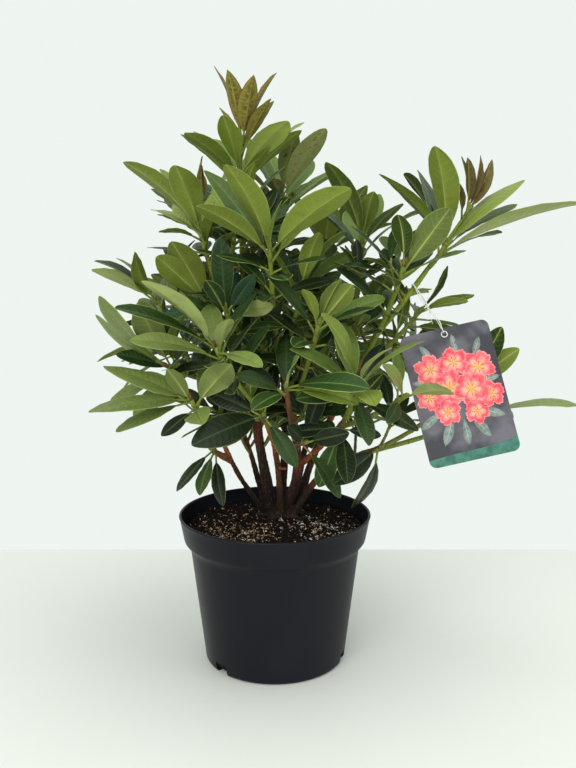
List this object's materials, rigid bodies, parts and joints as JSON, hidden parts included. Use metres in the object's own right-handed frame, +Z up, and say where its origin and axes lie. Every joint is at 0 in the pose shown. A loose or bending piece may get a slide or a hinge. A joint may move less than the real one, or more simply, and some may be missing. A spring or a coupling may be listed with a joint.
{
  "type": "potted rhododendron shrub",
  "caption": "Young many-stemmed rhododendron with whorls of long leaves, standing in a round black nursery pot, with a hanging card label.",
  "frame": {"origin": "on the floor, at the middle of the pot's flat underside", "axes": "+Z up through the plant, +X to the right and -Y towards the viewer, seen from the side that carries the label"},
  "size_m": [0.5685, 0.4483, 0.6981],
  "materials": {
    "pot": "black moulded plastic with a slight sheen",
    "mix": "dark crumbly peat and bark mix with pale grit",
    "bark": "thin dull bark, red-brown to yellow-green",
    "foliage": "leathery green leaves, paler beneath",
    "young_foliage": "soft bronze-green young leaves",
    "label": "smooth printed card, slightly glossy",
    "tie": "white elastic thread"
  },
  "bodies": {
    "root": {"bough_far_right": "bark", "bough_front_right": "bark", "bough_top": "bark", "bough_upper_left": "bark", "bough_upper_right": "bark", "label_card": "label", "label_tie": "tie", "pot": "pot", "potting_mix": "mix", "root_crown": "bark", "shoot_back_centre": "foliage", "shoot_back_high": "foliage", "shoot_back_left": "foliage", "shoot_back_left_high": "foliage", "shoot_back_left_low": "foliage", "shoot_back_left_side": "foliage", "shoot_back_middle": "foliage", "shoot_back_right": "foliage", "shoot_back_right_high": "foliage", "shoot_back_right_low": "foliage", "shoot_back_right_side": "foliage", "shoot_centre_front": "foliage", "shoot_crown_top": "foliage", "shoot_far_right": "foliage", "shoot_front_hanging": "foliage", "shoot_front_high": "foliage", "shoot_front_middle": "foliage", "shoot_front_right": "foliage", "shoot_inner_left": "foliage", "shoot_label_side": "foliage", "shoot_left_front": "foliage", "shoot_left_hanging": "foliage", "shoot_left_high": "foliage", "shoot_left_inner": "foliage", "shoot_left_lower": "foliage", "shoot_left_middle": "foliage", "shoot_left_upper": "foliage", "shoot_low_centre": "foliage", "shoot_low_right": "foliage", "shoot_middle_high": "foliage", "shoot_middle_inner": "foliage", "shoot_right_high": "foliage", "shoot_right_low": "foliage", "shoot_right_lower": "foliage", "shoot_right_middle": "foliage", "shoot_right_side": "foliage", "shoot_shade_leaf": "foliage", "stem_back": "bark", "stem_back_left": "bark", "stem_back_right": "bark", "stem_front": "bark", "stem_left": "bark", "stem_left_low": "bark", "stem_middle": "bark", "stem_middle_left": "bark", "stem_right": "bark", "stem_right_low": "bark"}
  },
  "joints": []
}
